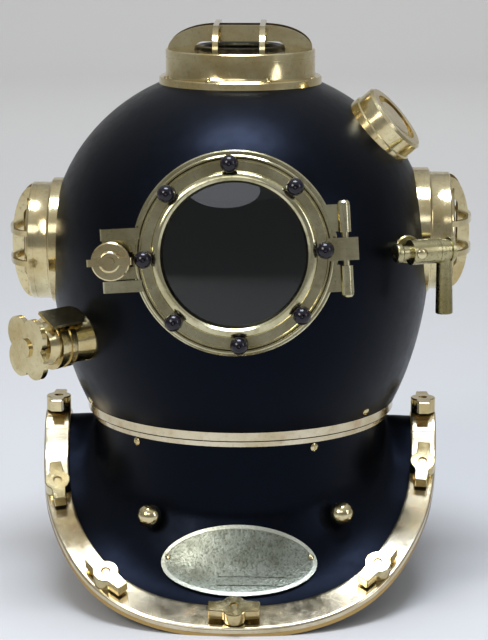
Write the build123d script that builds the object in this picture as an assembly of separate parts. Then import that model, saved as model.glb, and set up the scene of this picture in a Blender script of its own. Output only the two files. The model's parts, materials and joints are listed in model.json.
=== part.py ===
from build123d import *
import math
import os

# A twelve-bolt diving helmet in black painted copper with polished brass fittings.
# Millimetres, Z up, front towards -Y, origin on the floor below the middle of the neck.

os.makedirs("parts", exist_ok=True)

# Common fits and cutting allowances
running_gap = 0.3
fit_gap = 0.05
seat_gap = 0.15
overrun = 1.0
long_cut = 60.0

# Bonnet, the head shell
bonnet_radius = 156.0
bonnet_mid_height = 274.0
bonnet_upper_rise = 146.0
bonnet_lower_drop = 224.0
bonnet_wall = 3.0

# Neck rings between bonnet and breastplate
neck_outer_radius = 127.0
neck_joint_height = 138.0
neck_upper_height = 9.0
neck_wall_radius = 120.5
neck_ring_depth = 9.0
neck_bore_radius = 107.0
neck_spigot_radius = 112.0
neck_spigot_depth = 8.0
neck_spigot_wall = 1.7
gasket_height = 2.0
gasket_width = 4.0
thread_lug_count = 4
thread_lug_angle = 40.0
thread_lug_height = 3.0

# Breastplate plan and side outline
plate_half_width = 163.0
plate_half_depth = 185.0
plate_roundness = 2.4
plate_wall = 3.0
shoulder_rise = 126.0
rise_shares = (1.0, 0.752, 0.55, 0.375, 0.175, 0.0)
band_width = 21.0
band_thickness = 4.0
band_corner = 1.2
foot_cut = 1.2
crease_shoulder_height = 126.0
crease_front_drop = 49.0
crease_power = 1.1
crease_rise = 5.0
crease_step = 5.0
crease_mix_shoulder_share = 0.15
crease_mix_front_share = 0.78
section_angles = (0, 3.5, 7, 11, 16, 22, 30, 40, 52, 64, 77, 90)
end_brail_angle = 6.5
brail_joint_gap = 0.4

# Twelve brail studs and their wing nuts
right_bolt_angles = (17.0, 50.5)
left_bolt_angles = (24.0, 55.0)
bolt_step = 0.02
stud_radius = 3.6
stud_above = 10.8
stud_head_radius = 6.5
stud_head_height = 2.5
nut_boss_radius = 10.2
nut_length = 40.0
nut_height = 11.8
nut_lift = 2.4
nut_root_width = 13.0
nut_tip_width = 9.6
nut_corner = 1.0
nut_join = 3.0
nut_edge = 0.6

# Name plate, rivets, balls and neck screws on the breastplate
name_plate_width = 122.9
name_plate_height = 56.9
name_plate_thickness = 1.8
name_plate_centre_height = 44.5
name_plate_shift = 2.5
name_plate_rim = 3.0
name_plate_rim_height = 0.8
name_plate_box_width = 53.0
name_plate_box_height = 5.0
name_plate_box_side = 12.5
name_plate_box_drops = (10.0, 17.0)
plate_rivet_radius = 2.3
plate_rivet_spacing = 109.0
ball_radius = 9.6
ball_angles = (-31.0, 38.0)
ball_height = 70.0
ball_neck_radius = 3.2
neck_screw_radius = 3.4
neck_screw_height = 1.6
lower_screw_angles = (-131.6, -59.6, 48.4, 120.4)
upper_screw_angles = (-157.0, -38.7, 23.0, 141.3)
screw_slot_width = 0.9
screw_slot_depth = 0.8

# Front port and hinged faceplate
port_elevation = 7.0
port_roll = 3.3
port_frame_front = 158.0
port_frame_radius = 78.0
port_hole_radius = 55.5
port_frame_depth = 34.0
port_step_radius = 74.6
port_base_drop = 4.0
port_gasket_height = 2.0
port_gasket_inner = 60.0
port_gasket_outer = 72.0
ring_outer_radius = 74.6
ring_inner_radius = 58.0
ring_thickness = 8.7
ring_back_lip = 1.5
ring_ridge_width = 4.8
ring_ridge_height = 1.6
lip_outer_radius = 62.6
lip_inner_radius = 55.5
lip_height = 3.6
lip_depth = 1.5
glass_radius = 61.0
glass_dome = 2.5
face_nut_count = 8
face_nut_circle = 68.0
face_nut_radius = 6.8
face_nut_sink = 1.6
face_nut_dimple = 1.8

# Faceplate hinge
hinge_reach = 83.4
hinge_front = 166.0
hinge_barrel_radius = 4.75
hinge_pin_radius = 2.6
hinge_half_length = 33.0
hinge_middle_half = 8.5
hinge_gap = 4.1
hinge_cap_radius = 4.5
hinge_cap_height = 3.6
hinge_arm_thickness = 9.0
hinge_arm_tip = 9.6
hinge_bracket_width = 12.0

# Faceplate latch with swing bolt and wing nut
latch_reach = 92.5
latch_pivot_front = 148.0
latch_pivot_radius = 2.6
latch_eye_radius = 6.0
latch_eye_half = 5.4
latch_tab_thickness = 9.3
latch_bolt_radius = 3.9
latch_bolt_end = 190.0
latch_nut_seat = 172.0
latch_nut_disc_radius = 14.6
latch_nut_disc_height = 4.0
latch_nut_boss_radius = 8.4
latch_nut_boss_height = 12.0
latch_wing_length = 34.0
latch_wing_height = 9.0
latch_wing_width = 5.4
latch_slot_half = 15.4
latch_rail_width = 8.6
latch_rail_end = 99.6
latch_rail_start = 70.0
latch_rail_height = 9.0
latch_pin_overhang = 2.0
latch_tab_reach = 7.0

# Side ports
left_port_height = 276.0
right_port_height = 285.5
side_face = 171.0
side_barrel_radius = 48.0
side_base_radius = 51.5
side_base_height = 7.0
side_glass_radius = 38.5
side_bore_radius = 35.0
side_fin_spread = 11.0
side_fin_reach = 16.0
side_bar_spread = 12.3
side_bar_reach = 18.0
side_fin_flat_share = 0.0
side_bar_flat_share = 0.0

# Top port
top_face = 434.0
top_barrel_radius = 60.6
top_base_radius = 66.0
top_base_height = 6.0
top_glass_radius = 37.5
top_bore_radius = 34.0
top_fin_spread = 12.3
top_fin_reach = 19.5
top_bar_spread = 18.5
top_bar_reach = 21.0
top_fin_flat_share = 0.33
top_bar_flat_share = 0.5

# Shared port details
port_step = 3.0
port_edge = 1.0
port_root_share = 0.6
small_glass_thickness = 8.0
bezel_width = 8.0
bezel_height = 3.0
bezel_depth = 3.0
fin_thickness = 2.0
fin_window_share = 0.63
fin_window_height = 6.5
fin_window_flat_share = 0.8
bar_width = 4.4
bar_band = 4.0
flange_screw_radius = 2.4
flange_screw_height = 1.4
flange_screw_count = 8
flange_screw_turn = 22.5

# Telephone cap at the upper right
phone_direction = (0.748, -0.168, 0.643)
phone_radius = 30.0
phone_height = 16.5
phone_base_radius = 31.2
phone_base_height = 3.0
phone_rim_width = 8.6
phone_recess = 3.0
phone_disc_radius = 17.0
phone_receiver_radius = 24.0
phone_receiver_height = 9.0
phone_hole_radius = 25.0

# Exhaust valve at the lower left
exhaust_azimuth = 215.8
exhaust_height = 214.0
exhaust_elevation = -2.0
exhaust_turn = 5.0
exhaust_body_radius = 19.0
exhaust_base_radius = 19.6
exhaust_base_height = 3.0
exhaust_body_height = 28.0
exhaust_ring_radius = 21.0
exhaust_ring_height = 14.0
exhaust_groove_depth = 2.4
exhaust_cap_radius = 17.0
exhaust_cap_height = 7.0
exhaust_stem_radius = 4.2
exhaust_wheel_offset = 55.0
exhaust_wheel_radius = 28.0
exhaust_wheel_thickness = 4.4
exhaust_lobe_count = 4
exhaust_lobe_share = 0.5
exhaust_hub_radius = 7.5
exhaust_hub_height = 8.0
exhaust_tab_width = 21.0
exhaust_tab_thickness = 2.5
exhaust_tab_start = 8.0
exhaust_tab_end = 42.0
exhaust_tab_gap = 1.5
exhaust_tab_post = 8.0
exhaust_tab_turn = 25.0
exhaust_hole_radius = 13.0
valve_disc_radius = 12.0
valve_disc_thickness = 2.4
valve_stem_radius = 2.5
chin_button_radius = 16.0
chin_button_height = 4.0
chin_button_reach = 16.0
exhaust_spring_radius = 8.5
exhaust_spring_wire = 1.2
exhaust_spring_turns = 4
exhaust_spring_length = 13.5

# Spitcock at the right of the faceplate
spit_azimuth = -32.5
spit_height = 285.0
spit_elevation = 2.0
spit_turn = -34.5
spit_base_radius = 11.0
spit_base_height = 6.0
spit_body_radius = 9.8
spit_body_left = 6.0
spit_body_right = 17.0
spit_body_rise = 22.0
spit_spout_radius = 5.4
spit_spout_length = 13.0
spit_bead_radius = 7.4
spit_bead_width = 6.0
spit_bore_radius = 3.0
spit_plug_radius = 6.0
spit_plug_length = 12.5
spit_cap_radius = 9.8
spit_cap_height = 2.6
spit_lever_length = 50.0
spit_lever_root_radius = 6.0
spit_lever_end_radius = 6.8
spit_screw_radius = 4.2
spit_screw_height = 2.2

# Rear fittings
gooseneck_spread = 24.0
gooseneck_height = 284.0
gooseneck_elevation = 5.0
gooseneck_base_radius = 21.0
gooseneck_base_height = 4.0
gooseneck_tube_radius = 11.0
gooseneck_bore_radius = 7.5
gooseneck_stand = 14.0
gooseneck_bend_radius = 13.0
gooseneck_drop = 14.0
air_thread_radius = 13.2
air_thread_length = 16.0
phone_thread_radius = 11.8
valve_body_hex = 31.0
valve_body_length = 12.0
lock_width = 20.0
lock_height = 26.0
lock_thickness = 6.0
lock_pivot_rise = 16.0
lock_pin_radius = 2.4
lock_lever_length = 27.0
lock_lever_width = 7.0
lock_lever_thickness = 4.5


def save(name, shape):
    """Write one named piece, or a group of equal pieces, to its own file."""
    solids = shape.solids() if not isinstance(shape, list) else [s for item in shape for s in item.solids()]
    body = solids[0] if len(solids) == 1 else Compound(children=solids)
    body.label = name
    export_step(body, f"parts/{name}.step")


def turned(points):
    """Solid of revolution about Z from an outline of (radius, height) points."""
    corners = [(radius, 0, height) for radius, height in points]
    return revolve(make_face(Polyline(*corners, close=True)), axis=Axis.Z)


def disc(radius, bottom, top):
    """Plain cylinder about Z between two heights."""
    return Pos(0, 0, bottom) * Cylinder(radius, top - bottom, align=(Align.CENTER, Align.CENTER, Align.MIN))


def tube(outer, inner, bottom, top):
    """Cylinder with a bore that goes right through."""
    return disc(outer, bottom, top) - disc(inner, bottom - overrun, top + overrun)


def block(x_range, y_range, z_range):
    """Box between two corners."""
    size = [high - low for low, high in (x_range, y_range, z_range)]
    middle = [(low + high) / 2 for low, high in (x_range, y_range, z_range)]
    return Pos(*middle) * Box(*size)


def cross_rod(radius, start, end, x, z):
    """Cylinder parallel to Y between two Y values."""
    rod = Cylinder(radius, end - start)
    return Pos(x, (start + end) / 2, z) * Rot(90, 0, 0) * rod


def ring_of(item, count, first=0.0):
    """Copies of one piece turned about Z."""
    return [Rot(0, 0, first + 360.0 * number / count) * item for number in range(count)]


def section_point(angle, height):
    """Point of the skirt's outside at a plan angle and height, with its outward normal."""
    low, high = 0.0, 1.0
    curve = skirt_curve(angle)
    for _ in range(30):
        middle = (low + high) / 2
        if curve.position_at(middle).Z > height:
            low = middle
        else:
            high = middle
    spot = curve.position_at(low)
    run = curve.tangent_at(low)
    flat = run.X * math.cos(angle) + run.Y * math.sin(angle)
    normal = (-run.Z * math.cos(angle), -run.Z * math.sin(angle), flat)
    return spot, normal


def fused(items):
    """One solid from pieces that meet."""
    whole = items[0]
    for item in items[1:]:
        whole = whole + item
    return whole


def slotted_screw(radius, height, depth):
    """Round-headed screw along Z with its slot, and a shank below zero."""
    head = turned([(0, 0), (radius, 0), (radius * 0.96, height * 0.45), (radius * 0.62, height * 0.88),
                   (0, height)])
    slot = Pos(0, 0, height) * Box(radius * 2 + overrun, screw_slot_width, screw_slot_depth * 2)
    return head - slot + disc(radius / 2, -depth, 0)


def thread_lugs(inner, outer, bottom, top):
    """Equal segments of an interrupted thread between two radii and two heights."""
    corners = [(inner, 0, bottom), (outer, 0, bottom), (outer, 0, top), (inner, 0, top)]
    one = revolve(make_face(Polyline(*corners, close=True)), axis=Axis.Z, revolution_arc=thread_lug_angle)
    return ring_of(one, thread_lug_count, -thread_lug_angle / 2)


def bonnet_profile_radius(height, shrink=0.0):
    """Radius of the bonnet at a height, its outside shrunk by a wall."""
    above = height - bonnet_mid_height
    tall = (bonnet_upper_rise if above > 0 else bonnet_lower_drop) - shrink
    return (bonnet_radius - shrink) * math.sqrt(max(0.0, 1 - (above / tall) ** 2))


def bonnet_solid(shrink, bottom):
    """The bonnet as a filled solid: a flat dome above a long taper, quarter ellipses both."""
    middle = bonnet_mid_height
    top = middle + bonnet_upper_rise - shrink
    radius = bonnet_radius - shrink
    count = 16
    lower = [(bonnet_profile_radius(middle + (bottom - middle) * k / count, shrink), 0,
              middle + (bottom - middle) * k / count) for k in range(count + 1)]
    dome = [(radius * math.cos(math.pi / 2 * k / count), 0,
             middle + (top - middle) * math.sin(math.pi / 2 * k / count)) for k in range(count + 1)]
    side = Spline(*lower, tangents=[(0, 0, -1), (-1, 0, -2.4)])
    crown = Spline(*dome, tangents=[(0, 0, 1), (-1, 0, 0)])
    floor = Line((0, 0, bottom), lower[-1])
    axis_line = Line((0, 0, bottom), (0, 0, top))
    return revolve(make_face([side, crown, floor, axis_line]), axis=Axis.Z)


def surface_plane(direction, spin=0.0):
    """Plane on the bonnet where a ray from its middle leaves it, with Z along the ray."""
    length = math.sqrt(sum(part * part for part in direction))
    unit = [part / length for part in direction]
    tall = bonnet_upper_rise if unit[2] > 0 else bonnet_lower_drop
    flat = math.hypot(unit[0], unit[1])
    reach = 1 / math.sqrt((flat / bonnet_radius) ** 2 + (unit[2] / tall) ** 2)
    origin = (unit[0] * reach, unit[1] * reach, bonnet_mid_height + unit[2] * reach)
    side = (-unit[1], unit[0], 0) if flat > 0 else (1, 0, 0)
    return Plane(origin=origin, x_dir=side, z_dir=tuple(unit)).rotated((0, 0, spin))


def wall_plane(azimuth, height, elevation, turn=0.0):
    """Plane on the bonnet's side at a compass angle and a height, its Z axis raised and turned aside."""
    place, rise, ahead = math.radians(azimuth), math.radians(elevation), math.radians(azimuth + turn)
    radius = bonnet_profile_radius(height)
    origin = (radius * math.cos(place), radius * math.sin(place), height)
    outward = (math.cos(ahead) * math.cos(rise), math.sin(ahead) * math.cos(rise), math.sin(rise))
    return Plane(origin=origin, x_dir=(-math.sin(ahead), math.cos(ahead), 0), z_dir=outward)


def band_height(depth):
    """Height of the band's upper face at a distance in front of or behind the shoulders."""
    steps = len(rise_shares) - 1
    place = min(abs(depth) / plate_half_depth, 1.0) * steps
    index = min(int(place), steps - 1)
    along = place - index
    before = rise_shares[abs(index - 1)]
    here, after = rise_shares[index], rise_shares[index + 1]
    beyond = rise_shares[index + 2] if index + 2 <= steps else 2 * after - here
    share = 0.5 * (2 * here + (after - before) * along
                   + (2 * before - 5 * here + 4 * after - beyond) * along ** 2
                   + (3 * here - before - 3 * after + beyond) * along ** 3)
    return shoulder_rise * share + band_thickness + seat_gap + plate_wall - foot_cut


def outline_radius(angle):
    """Plan radius of the breastplate's rim, a superellipse."""
    across = abs(math.cos(angle)) / plate_half_width
    along = abs(math.sin(angle)) / plate_half_depth
    return (across ** plate_roundness + along ** plate_roundness) ** (-1 / plate_roundness)


def on_section(angle, radius, height):
    """Point in the upright plane at an angle about Z."""
    return (radius * math.cos(angle), radius * math.sin(angle), height)


def skirt_sizes(angle):
    """Radii and heights of the flange, the skirt's knee and the foot of the neck wall at one angle."""
    outer = outline_radius(angle)
    inner = outer - band_width
    under = band_thickness + seat_gap
    inner_height = band_height(inner * math.sin(angle)) - under
    outer_height = band_height(outer * math.sin(angle)) - under
    turn = abs(math.sin(angle))
    crease = crease_shoulder_height - crease_front_drop * turn ** crease_power
    mix = crease_mix_shoulder_share + (crease_mix_front_share - crease_mix_shoulder_share) * turn
    start_height = crease + crease_rise
    knee_height = inner_height + (start_height - inner_height) * mix
    return outer, inner, outer_height, inner_height, knee_height, start_height


def skirt_curve(angle):
    """Outer curve of the skirt from the neck wall, through its knee, to the flange."""
    outer, inner, outer_height, inner_height, knee_height, start_height = skirt_sizes(angle)
    slope = (outer_height - inner_height) / band_width
    top = on_section(angle, neck_wall_radius, start_height)
    knee = on_section(angle, neck_wall_radius + crease_step, knee_height)
    foot = on_section(angle, inner, inner_height)
    along = (math.cos(angle), math.sin(angle), slope)
    return Spline(top, knee, foot, tangents=[(0, 0, -1), along])


def filled_section(angle):
    """Skirt section filled in towards the axis, for shaping what lies on the skirt."""
    outer, inner, outer_height, inner_height, knee_height, start_height = skirt_sizes(angle)
    core = neck_wall_radius / 2
    a = on_section(angle, core, start_height)
    b = on_section(angle, neck_wall_radius, start_height)
    c = on_section(angle, inner, inner_height)
    d = on_section(angle, core, inner_height)
    return make_face([Line(a, b), skirt_curve(angle), Line(c, d), Line(d, a)])


def breastplate_section(angle):
    """Upright cut through neck wall, skirt and flange at one angle."""
    outer, inner, outer_height, inner_height, knee_height, start_height = skirt_sizes(angle)
    slope = (outer_height - inner_height) / band_width
    top = neck_joint_height - neck_ring_depth / 2

    def point(radius, height):
        return on_section(angle, radius, height)

    up = (0, 0, 1)
    back = (-math.cos(angle), -math.sin(angle), -slope)
    wall_inner = neck_wall_radius - plate_wall
    a = point(neck_wall_radius, top)
    b = point(neck_wall_radius, start_height)
    d = point(inner, inner_height)
    e = point(outer, outer_height)
    f = point(outer, outer_height - plate_wall)
    g = point(inner - plate_wall * 0.6, inner_height - plate_wall)
    h = point(wall_inner + crease_step, knee_height - plate_wall * 0.8)
    i = point(wall_inner, start_height - plate_wall * 0.5)
    j = point(wall_inner, top)
    edges = [Line(a, b), skirt_curve(angle), Line(d, e), Line(e, f), Line(f, g),
             Spline(g, h, i, tangents=[back, up]), Line(i, j), Line(j, a)]
    return make_face(edges)


def brail_section(angle):
    """Upright cut through the clamping band at one angle, its upper edges chamfered."""
    outer = outline_radius(angle)
    inner = outer - band_width
    inner_top = band_height(inner * math.sin(angle))
    outer_top = band_height(outer * math.sin(angle))
    slope = (outer_top - inner_top) / band_width
    points = [(inner, inner_top - band_thickness), (inner, inner_top - band_corner),
              (inner + band_corner, inner_top + slope * band_corner),
              (outer - band_corner, outer_top - slope * band_corner),
              (outer, outer_top - band_corner), (outer, outer_top - band_thickness)]
    return make_face(Polyline(*[on_section(angle, r, z) for r, z in points], close=True))


def front_angles(first, last):
    """Section angles of the front half, from one plan angle to another, in radians."""
    quarter = list(section_angles)
    half = quarter + [180 - value for value in reversed(quarter[:-1])]
    inside = [value for value in half if first < value < last]
    return [-math.radians(value) for value in [first] + inside + [last]]


def band_point(angle):
    """Middle of the band's upper face at a plan angle, with its normal."""
    radius = outline_radius(angle) - band_width / 2
    x, y = radius * math.cos(angle), radius * math.sin(angle)
    reach = band_width / 8
    slope = (band_height(y + reach) - band_height(y - reach)) / (2 * reach)
    length = math.sqrt(1 + slope * slope)
    return (x, y, band_height(y)), (0, -slope / length, 1 / length)


def bolt_plane(angle):
    """Seat plane of one wing nut, lifted clear of the band's bend, and the depth of the stud's head."""
    (x, y, z), normal = band_point(angle)
    lift, dip = 0.0, 0.0
    for k in range(-8, 9):
        offset = nut_length / 2 * k / 8
        along_y = offset * normal[2]
        along_z = -offset * normal[1]
        spare = 0.0 if abs(offset) <= nut_boss_radius else nut_lift
        rise = (band_height(y + along_y) - (z + along_z)) * normal[2]
        lift = max(lift, rise - spare)
        if abs(offset) < stud_head_radius + nut_length / 16:
            dip = max(dip, -rise)
    lift = lift + running_gap
    origin = (x, y + normal[1] * lift, z + normal[2] * lift)
    ahead, behind = (outline_radius(angle + step) - band_width / 2 for step in (bolt_step, -bolt_step))
    run_x = ahead * math.cos(angle + bolt_step) - behind * math.cos(angle - bolt_step)
    run_y = ahead * math.sin(angle + bolt_step) - behind * math.sin(angle - bolt_step)
    run_z = -run_y * normal[1] / normal[2]
    head_depth = lift + band_thickness + seat_gap + plate_wall + dip + running_gap * 2
    return Plane(origin=origin, x_dir=(run_x, run_y, run_z), z_dir=normal), head_depth


def all_bolts():
    """Plan angles of the twelve studs, anticlockwise from the right shoulder."""
    right = [math.radians(value) for value in right_bolt_angles]
    left = [math.pi - math.radians(value) for value in left_bolt_angles]
    back = [0.0] + right + [math.pi / 2] + left[::-1]
    front = [math.pi] + [-value for value in left] + [-math.pi / 2] + [-value for value in right[::-1]]
    return back + front


def wing_nut():
    """Wing nut seated at zero: a round boss and two square-ended wings, flat across their tops."""
    half, root, tip = nut_length / 2, nut_root_width / 2, nut_tip_width / 2
    wings = make_face(Polyline((0, root), (half, tip), (half, -tip), (0, -root), (-half, -tip),
                               (-half, tip), close=True))
    plan = Circle(nut_boss_radius) + wings
    joins = plan.vertices().filter_by(lambda vertex: abs(vertex.X) < nut_boss_radius)
    plan = fillet(joins, nut_join)
    ends = plan.vertices().filter_by(lambda vertex: abs(vertex.X) > half - nut_edge)
    plan = fillet(ends, nut_corner)
    nut = extrude(plan, nut_height)
    nut = chamfer(nut.edges().group_by(Axis.Z)[-1], nut_edge)
    under = block((-nut_length, nut_length), (-nut_length, nut_length), (-overrun, nut_lift))
    nut = nut - (under - disc(nut_boss_radius, -overrun * 2, nut_height))
    return nut - disc(stud_radius + fit_gap, -overrun, nut_height + overrun)


def arch(half_length, reach, flat_share):
    """Outline of an arch and its mirror image: a flat middle between two quarter ellipses."""
    flat = half_length * flat_share
    if flat == 0:
        return Ellipse(half_length, reach)
    bend = half_length - flat
    ends = Pos(flat, 0) * Ellipse(bend, reach) + Pos(-flat, 0) * Ellipse(bend, reach)
    return Rectangle(flat * 2, reach * 2) + ends


def arched_plate(outline, window, reach, thickness):
    """Upright plate along X that stands on z = 0 under an arched edge, with a window cut out."""
    upper = Pos(0, reach) * Rectangle(reach * 20, reach * 2)
    return extrude(Plane.XZ * ((outline - window) & upper), thickness / 2, both=True)


def port_guard(half_fin, half_bar, fin_sizes, bar_sizes, bezel_radius):
    """Two crossed pairs of arched bars over a port, standing on its rim at z = 0 round the bezel."""
    fin_spread, fin_reach, fin_flat_share = fin_sizes
    bar_spread, bar_reach, bar_flat_share = bar_sizes
    low_window = arch(half_fin * fin_window_share, fin_window_height, fin_window_flat_share)
    fin = arched_plate(arch(half_fin, fin_reach, fin_flat_share), low_window, fin_reach, fin_thickness)
    open_window = arch(half_bar - bar_band, bar_reach - bar_band, bar_flat_share)
    bar = arched_plate(arch(half_bar, bar_reach, bar_flat_share), open_window, bar_reach, bar_width)
    fins = [Pos(0, side * fin_spread, 0) * fin for side in (-1, 1)]
    bars = [Pos(side * bar_spread, 0, 0) * Rot(0, 0, 90) * bar for side in (-1, 1)]
    return fused(fins + bars) - disc(bezel_radius + fit_gap, -overrun, bezel_height + running_gap)


def port_outline(radius, base_radius, base_top, bore, glass, depth):
    """Stepped port casting: rim at z = 0, glass seat inside, reaching back into the bonnet."""
    seat = bezel_depth + small_glass_thickness
    step = port_step
    edge = port_edge
    root = (base_radius - radius) * port_root_share
    outline = [(bore, -depth), (base_radius, -depth), (base_radius, base_top - edge),
               (base_radius - edge, base_top), (radius + root, base_top),
               (radius + root * 0.3, base_top + root * 0.3), (radius, base_top + root),
               (radius, -step * 2), (radius - edge / 2, -step * 2), (radius - edge / 2, -step * 1.6),
               (radius, -step * 1.6), (radius, -edge), (radius - edge, 0),
               (glass + fit_gap, 0), (glass + fit_gap, -seat), (bore, -seat)]
    return outline


def port_base_top(base_radius, base_height, mid_radius, rise, face):
    """Height of a port's base flange below its rim, where the bonnet meets the flange's edge."""
    meeting = rise * math.sqrt(1 - (base_radius / mid_radius) ** 2)
    return meeting + base_height - face


def port_bezel(glass):
    """Screwed ring that holds a port glass, with a rounded front."""
    inner = glass - bezel_width
    outline = [(glass, -bezel_depth + fit_gap), (glass, 0),
               (glass - bezel_height * 0.4, bezel_height * 0.7),
               (glass - bezel_width * 0.45, bezel_height), (inner + bezel_height * 0.4, bezel_height * 0.6),
               (inner, 0), (inner, -bezel_depth + fit_gap)]
    return turned(outline)


def flange_screws(circle, height, count, first=0.0):
    """Ring of slotted screws, heads up."""
    one = Pos(circle, 0, height) * slotted_screw(flange_screw_radius, flange_screw_height,
                                                 flange_screw_radius * 2)
    return ring_of(one, count, first)


# Bonnet shell and everything that is cut through it
neck_top = neck_joint_height + neck_upper_height
bonnet_outer = bonnet_solid(0.0, neck_top)
bonnet_inner = bonnet_solid(bonnet_wall, neck_top - overrun)
bonnet = bonnet_outer - bonnet_inner
bonnet_middle = (0, 0, bonnet_mid_height)

port_tilt = math.radians(port_elevation)
port_turn = math.radians(port_roll)
port_out = (0, -math.cos(port_tilt), math.sin(port_tilt))
port_up = (0, math.sin(port_tilt), math.cos(port_tilt))
port_side = (math.cos(port_turn), port_up[1] * math.sin(port_turn), port_up[2] * math.sin(port_turn))
port_plane = Plane(origin=bonnet_middle, x_dir=port_side, z_dir=port_out)
left_plane = Plane(origin=(-side_face, 0, left_port_height), x_dir=(0, 0, 1), z_dir=(-1, 0, 0))
right_plane = Plane(origin=(side_face, 0, right_port_height), x_dir=(0, 0, 1), z_dir=(1, 0, 0))
top_plane = Plane(origin=(0, 0, top_face), x_dir=(1, 0, 0), z_dir=(0, 0, 1))
phone_plane = surface_plane(phone_direction)
exhaust_plane = wall_plane(exhaust_azimuth, exhaust_height, exhaust_elevation, exhaust_turn)
spit_plane = wall_plane(spit_azimuth, spit_height, spit_elevation, spit_turn)
air_plane = wall_plane(90 - gooseneck_spread, gooseneck_height, gooseneck_elevation)
talk_plane = wall_plane(90 + gooseneck_spread, gooseneck_height, gooseneck_elevation)

bonnet = bonnet - port_plane * disc(port_hole_radius, 0, bonnet_radius + long_cut)
for plane in (left_plane, right_plane):
    bonnet = bonnet - plane * disc(side_bore_radius, -long_cut, overrun)
bonnet = bonnet - top_plane * disc(top_bore_radius, -long_cut, overrun)
bonnet = bonnet - phone_plane * disc(phone_hole_radius, -long_cut / 2, long_cut / 2)
bonnet = bonnet - exhaust_plane * disc(exhaust_hole_radius, -long_cut / 2, long_cut / 2)
bonnet = bonnet - spit_plane * disc(spit_bore_radius, -long_cut / 2, long_cut / 2)
for plane in (air_plane, talk_plane):
    bonnet = bonnet - plane * disc(gooseneck_bore_radius, -long_cut / 2, long_cut / 2)

# Upper neck ring: joint ring under the bonnet, with a spigot and interrupted thread lugs
upper_ring = turned([(neck_bore_radius, neck_joint_height),
                     (neck_outer_radius - band_corner, neck_joint_height),
                     (neck_outer_radius, neck_joint_height + band_corner),
                     (neck_outer_radius, neck_top - band_corner),
                     (neck_outer_radius - band_corner, neck_top),
                     (neck_bore_radius, neck_top)])
spigot_bottom = neck_joint_height - neck_spigot_depth
spigot_radius = neck_bore_radius + neck_spigot_wall
lug_top = neck_joint_height - running_gap - thread_lug_height
upper_ring = upper_ring + tube(spigot_radius, neck_bore_radius, spigot_bottom, neck_joint_height + overrun)
upper_ring = fused([upper_ring] + thread_lugs(spigot_radius - running_gap, neck_spigot_radius - running_gap,
                                              lug_top - running_gap - thread_lug_height,
                                              lug_top - running_gap))
save("neck_ring_upper", upper_ring)

# Lower neck ring on the breastplate, with the gasket in its top
lower_top = neck_joint_height - running_gap
lower_bottom = neck_joint_height - neck_ring_depth
gasket_outer = neck_wall_radius - gasket_width
gasket_inner = gasket_outer - gasket_width
lower_ring = turned([(neck_spigot_radius, lower_bottom), (neck_wall_radius - plate_wall, lower_bottom),
                     (neck_wall_radius - plate_wall, lower_bottom + neck_ring_depth / 2 + fit_gap),
                     (neck_wall_radius + plate_wall, lower_bottom + neck_ring_depth / 2 + fit_gap),
                     (neck_wall_radius + plate_wall, lower_top), (gasket_outer, lower_top),
                     (gasket_outer, lower_top - gasket_height), (gasket_inner, lower_top - gasket_height),
                     (gasket_inner, lower_top), (neck_spigot_radius, lower_top)])
lower_ring = fused([lower_ring] + thread_lugs(spigot_radius + running_gap, neck_spigot_radius + fit_gap,
                                              lug_top, lower_top))
save("neck_gasket", tube(gasket_outer, gasket_inner, lower_top - gasket_height, lower_top))

# Breastplate: half shell lofted through upright cuts, then its mirror image
half_sections = [breastplate_section(angle) for angle in front_angles(0, 180)]
front_half = loft(half_sections)
back_half = mirror(front_half, about=Plane.XZ)
breastplate = front_half + back_half
above_floor = block((-plate_half_width * 2, plate_half_width * 2),
                    (-plate_half_depth * 2, plate_half_depth * 2),
                    (0, bonnet_mid_height))
breastplate = breastplate & above_floor

# The four brails and the twelve studs with their nuts
front_band = loft([brail_section(angle) for angle in front_angles(0, 180)])
whole_band = front_band + mirror(front_band, about=Plane.XZ)
joint_depth = plate_half_width * math.tan(math.radians(end_brail_angle))
wide, deep, tall = plate_half_width * 2, plate_half_depth * 2, bonnet_mid_height
front_brail = whole_band & block((-wide, wide), (-deep, -joint_depth - brail_joint_gap), (0, tall))
right_brail = whole_band & block((0, wide), (-joint_depth, joint_depth), (0, tall))
bolts = all_bolts()
seats = [bolt_plane(angle) for angle in bolts]
stud_holes = [plane * disc(stud_radius + fit_gap, -head_depth - overrun, overrun * 2)
              for plane, head_depth in seats]
brails = {"brail_front": [front_brail], "brail_back": [mirror(front_brail, about=Plane.XZ)],
          "brail_shoulders": [right_brail, mirror(right_brail, about=Plane.YZ)]}
for name, pieces in brails.items():
    drilled = []
    for brail in pieces:
        box = brail.bounding_box()
        for hole in stud_holes:
            middle = hole.center()
            if box.min.X < middle.X < box.max.X and box.min.Y < middle.Y < box.max.Y:
                brail = brail - hole
        drilled.append(brail)
    save(name, drilled)

studs = []
for (plane, head_depth), hole in zip(seats, stud_holes):
    stud = disc(stud_radius, -head_depth - stud_head_height / 2, stud_above)
    stud = chamfer(stud.edges().group_by(Axis.Z)[-1], stud_radius / 4)
    head = disc(stud_head_radius, -head_depth - stud_head_height, -head_depth)
    studs.append(plane * (stud + head))
    breastplate = breastplate - hole
save("brail_studs", studs)

nut = wing_nut()
for number, (plane, head_depth) in enumerate(seats, start=1):
    save(f"wing_nut_{number:02d}", plane * nut)

# Name plate: a bare oval bent round the skirt, with a raised border and two raised boxes
front = -math.pi / 2
name_spot, name_normal = section_point(front, name_plate_centre_height)
name_plane = Plane(origin=name_spot, x_dir=(1, 0, 0), z_dir=name_normal)
skirt_angles = [-math.radians(value) for value in (50, 60, 70, 80, 90, 100, 110, 120, 130)]
skirt_fill = loft([filled_section(angle) for angle in skirt_angles])


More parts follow.
